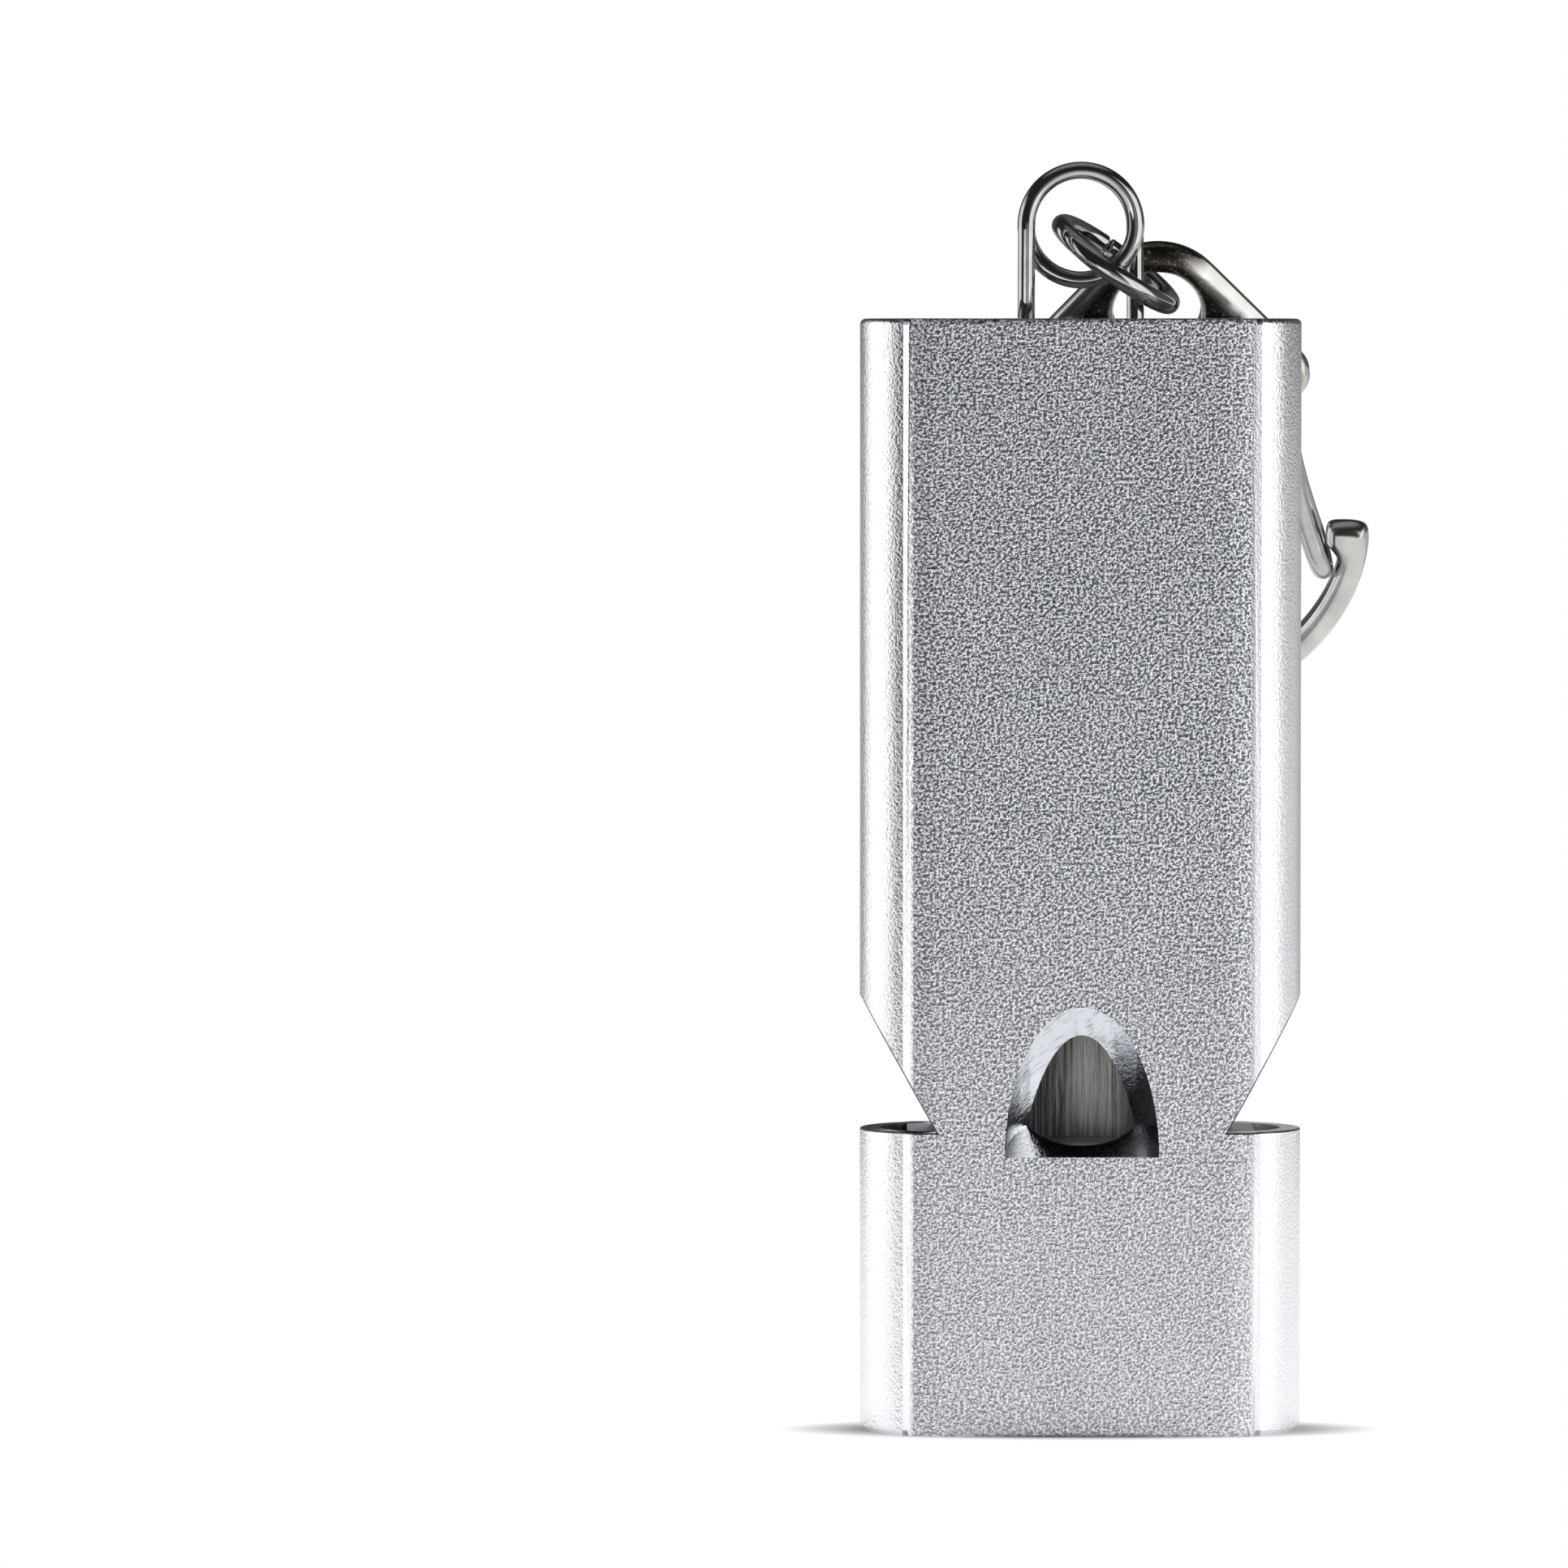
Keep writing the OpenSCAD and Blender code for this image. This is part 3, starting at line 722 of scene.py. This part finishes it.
for finish in (blasted, milled, bored_finish, sill, rubbed_and_shaded_edge):
    extrusion.data.materials.append(finish)
plugs = [name for name in nodes if name.endswith(("_block", "_stopper"))]
for name in plugs:
    nodes[name].data.materials.clear()
    nodes[name].data.materials.append(turned)
print("turned plugs:", sorted(plugs))

# %% [markdown]
# ## Nickel plating
#
# Plated wire mirrors the studio, so its look is mostly the light. Faint clouds keep it from being
# perfect. The cast hook is softer: its plating follows a slightly uneven casting, it is warmer, and
# its flat plate and the top of its eye are a darker brown, with small pits.

# %% Plated wire
cloud_size, cloud_depth = 0.8, 0.01
plated, shader, place = finish_of("plated wire", Metallic=1.0)
cloud = grain(place, cloud_size, detail=3.0)
dress(
    shader,
    cloud.between(0.3, 0.7).tint((0.43, 0.425, 0.42), (0.53, 0.525, 0.515)),
    0.03 + 0.05 * cloud,
    dents(cloud, cloud_depth, 0.3))
for thing in (wire_loop, link_ring, sprung_gate):
    thing.data.materials.append(plated)
print("plated wire on", wire_loop.name, link_ring.name, sprung_gate.name)

# %% Plated casting
cast_size, pit_size, cast_depth = 1.6, 0.14, 0.06
cast, shader, place = finish_of("plated casting", Metallic=1.0)
uneven = grain(place, cast_size)
pits = grain(place, pit_size)
from_eye = place.node(
    "ShaderNodeVectorMath", {"operation": "SUBTRACT"}, s0=place, s1=tuple(eye_centre * mm))
up, off = from_eye.dot(hook_y), from_eye.dot(hook_z)
face = abs(off).between(0.62 * mm, 0.78 * mm)
apex = (up + uneven * 1.5 * mm).between(3.0 * mm, 3.9 * mm)
plate = face * (up + uneven * 2.0 * mm).between(-6.5 * mm, -4.5 * mm)
# The flat plate and the top of the eye are coloured dark brown, with small pits.
dark_plate_and_apex = (plate + apex).between(0, 1) * (1 - 0.75 * pits.between(0.60, 0.68))
nickel = uneven.between(0.3, 0.7).tint((0.52, 0.51, 0.49), (0.66, 0.65, 0.63))
dress(
    shader,
    dark_plate_and_apex.tint(nickel, (0.10, 0.085, 0.065)),
    0.14 + 0.10 * pits + 0.08 * dark_plate_and_apex,
    dents(uneven + 0.15 * pits, cast_depth, 0.4))
cast_hook.data.materials.append(cast)
print("plated casting on", cast_hook.name)

# %% [markdown]
# ## Studio
#
# The photo has a white ground and tall soft boxes at both sides. A round tent stands about the
# whistle, and the camera looks through it. It is bright at the sides, with a weak light in front, a
# low strip front left for the lower end, a dim back and a small light overhead. Above the body it
# is darker, so the wires keep their contrast. Lamps could do this too, but on one dome each
# direction's light is one sum. The floor is pale and keeps the shadow close to the whistle, and
# further out it is white to the camera.

# %% Tent of light
tent_r = 0.16
turn = np.linspace(-np.pi, np.pi, 181)[None, :-1]
rise = np.radians(np.linspace(0.2, 89, 48))[:, None]
wall = tent_r * np.stack([
    np.sin(turn) * np.cos(rise),
    -np.cos(turn) * np.cos(rise),
    np.sin(rise) * np.ones_like(turn)], axis=-1)
wall_index = np.arange(wall[..., 0].size).reshape(wall.shape[:2])
tent_faces = [*rim_quads(wall_index).tolist(), wall_index[-1].tolist()]
tent = mesh_object("studio_tent", wall.reshape(-1, 3), tent_faces)
tent.visible_camera = False
tent.visible_shadow = False
print("tent:", len(tent.data.polygons), "faces")

# %% Light on the tent
glow = bpy.data.materials.new("tent light")
glow.use_nodes = True
glow.node_tree.nodes.clear()
tones = Signal(glow.node_tree)
spot, deep, tall = tones.node("ShaderNodeTexCoord", out="Object").axes()
degrees = tones.math("ARCTAN2", spot, 0 - deep) * (180 / math.pi)


def box_light(low, high, soft):
    """1 between two directions in degrees, with soft sides. 0 is towards the camera."""
    return degrees.between(low - soft, low) * (1 - degrees.between(high, high + soft))


below_wires = 1 - 0.85 * tall.between(0.049, 0.060)
below_roof = 1 - tall.between(0.105, 0.125)
left, right, back_right = box_light(-128, -75, 6), box_light(38, 84, 8), box_light(94, 136, 8)
sides = 1.2 * left + 1.45 * right + 0.6 * back_right * below_wires
more_low_down = 3.5 - 2.5 * tall.between(0, 0.03)
front = 0.24 * box_light(2, 38, 22) * (1 - tall.between(0.05, 0.08)) * more_low_down
low_front = 2.2 * box_light(-36, -16, 8) * (1 - tall.between(0.014, 0.03))
behind = 0.42 * (1 - box_light(-138, 136, 12)) * below_wires
overhead = 0.3 * tall.between(0.146, 0.156)
faint = 0.03
brightness = faint + (sides + behind) * below_roof + front + low_front + overhead
lamp = tones.node("ShaderNodeEmission", Color=brightness)
feed(glow.node_tree.nodes.new("ShaderNodeOutputMaterial").inputs["Surface"], lamp)
tent.data.materials.append(glow)
print("tent light:", len(glow.node_tree.nodes), "nodes")


# %% Floor
def shown_rays(signal):
    """1 for what the camera sees, straight or by way of gloss or glass."""
    rays = signal.node("ShaderNodeLightPath").socket.node.outputs
    kinds = ("Camera", "Glossy", "Transmission")
    camera_ray, gloss, glass = (Signal(signal.tree, rays[f"Is {kind} Ray"]) for kind in kinds)
    return (camera_ray + gloss + glass).between(0, 1)


floor_r, floor_rings, floor_sides = 0.6, 30, 96
shade_x, shade_y, shade_from, shade_to = 11.0, 4.1, 0.98, 1.35
reach = np.linspace(0, floor_r, floor_rings)[:, None]
around = np.linspace(0, 2 * np.pi, floor_sides + 1)[:-1]
disc = np.stack([
    reach * np.cos(around), reach * np.sin(around), np.zeros((floor_rings, floor_sides))], axis=-1)
ring_index = np.arange(floor_rings * floor_sides).reshape(floor_rings, floor_sides)
floor_faces = rim_quads(ring_index)[floor_sides:].tolist() + [ring_index[1].tolist()]
floor = mesh_object("pale_floor", disc.reshape(-1, 3), floor_faces)
print("floor radius:", floor_r, "m")

# %% Floor finish
mottle_size = 20.0
pale, shader, place = finish_of("pale floor", Roughness=0.9)
shade_scale = (1 / shade_x / mm, 1 / shade_y / mm, 0)
spread = place.node("ShaderNodeMapping", Vector=place, Scale=shade_scale)
far_off = spread.node("ShaderNodeVectorMath", {"operation": "LENGTH"}, out="Value", s0=spread)
far = far_off.between(shade_from, shade_to)
mottle = grain(place, mottle_size)
feed(shader.inputs["Base Color"], mottle.tint((0.90, 0.90, 0.90), (0.94, 0.94, 0.94)))
matt = Signal(pale.node_tree, shader.outputs[0])
white = place.node("ShaderNodeEmission", Color=(1.0, 1.0, 1.0, 1.0))
both = place.node("ShaderNodeMixShader", s0=shown_rays(place) * far, s1=matt, s2=white)
feed(pale.node_tree.nodes["Material Output"].inputs["Surface"], both)
floor.data.materials.append(pale)
print("floor keeps its shadow within", shade_x * shade_to, "mm to each side")

# %% World
world = bpy.data.worlds.new("white studio")
bpy.context.scene.world = world
world.use_nodes = True
world.node_tree.nodes.clear()
sky = Signal(world.node_tree)
dim, bright = (
    sky.node("ShaderNodeBackground", Color=(1.0, 1.0, 1.0, 1.0), Strength=level)
    for level in (0.5, 1.0))
ground = sky.node("ShaderNodeMixShader", s0=shown_rays(sky), s1=dim, s2=bright)
feed(world.node_tree.nodes.new("ShaderNodeOutputWorld").inputs["Surface"], ground)
bpy.context.scene.view_settings.view_transform = "Standard"
print("world: white to the camera")

# %% [markdown]
# ## Camera
#
# The photo is taken from far away with a long lens, a little from above. The whistle stands right
# of the middle.

# %% Camera
camera_data = bpy.data.cameras.new("camera")
camera_data.lens, camera_data.sensor_width = 257.5, 36.0
camera_data.clip_start, camera_data.clip_end = 0.01, 10.0
camera = bpy.data.objects.new("camera", camera_data)
bpy.context.scene.collection.objects.link(camera)
eye = np.array([-14.65, -554.05, 56.5]) * mm
aim = np.array([-14.65, -4.05, 32.18]) * mm
pitch = math.atan2(aim[2] - eye[2], aim[1] - eye[1])
camera.location = eye
camera.rotation_euler = (math.pi / 2 + pitch, 0, 0)
bpy.context.scene.camera = camera
print("camera looks down", round(-math.degrees(pitch), 2), "degrees")
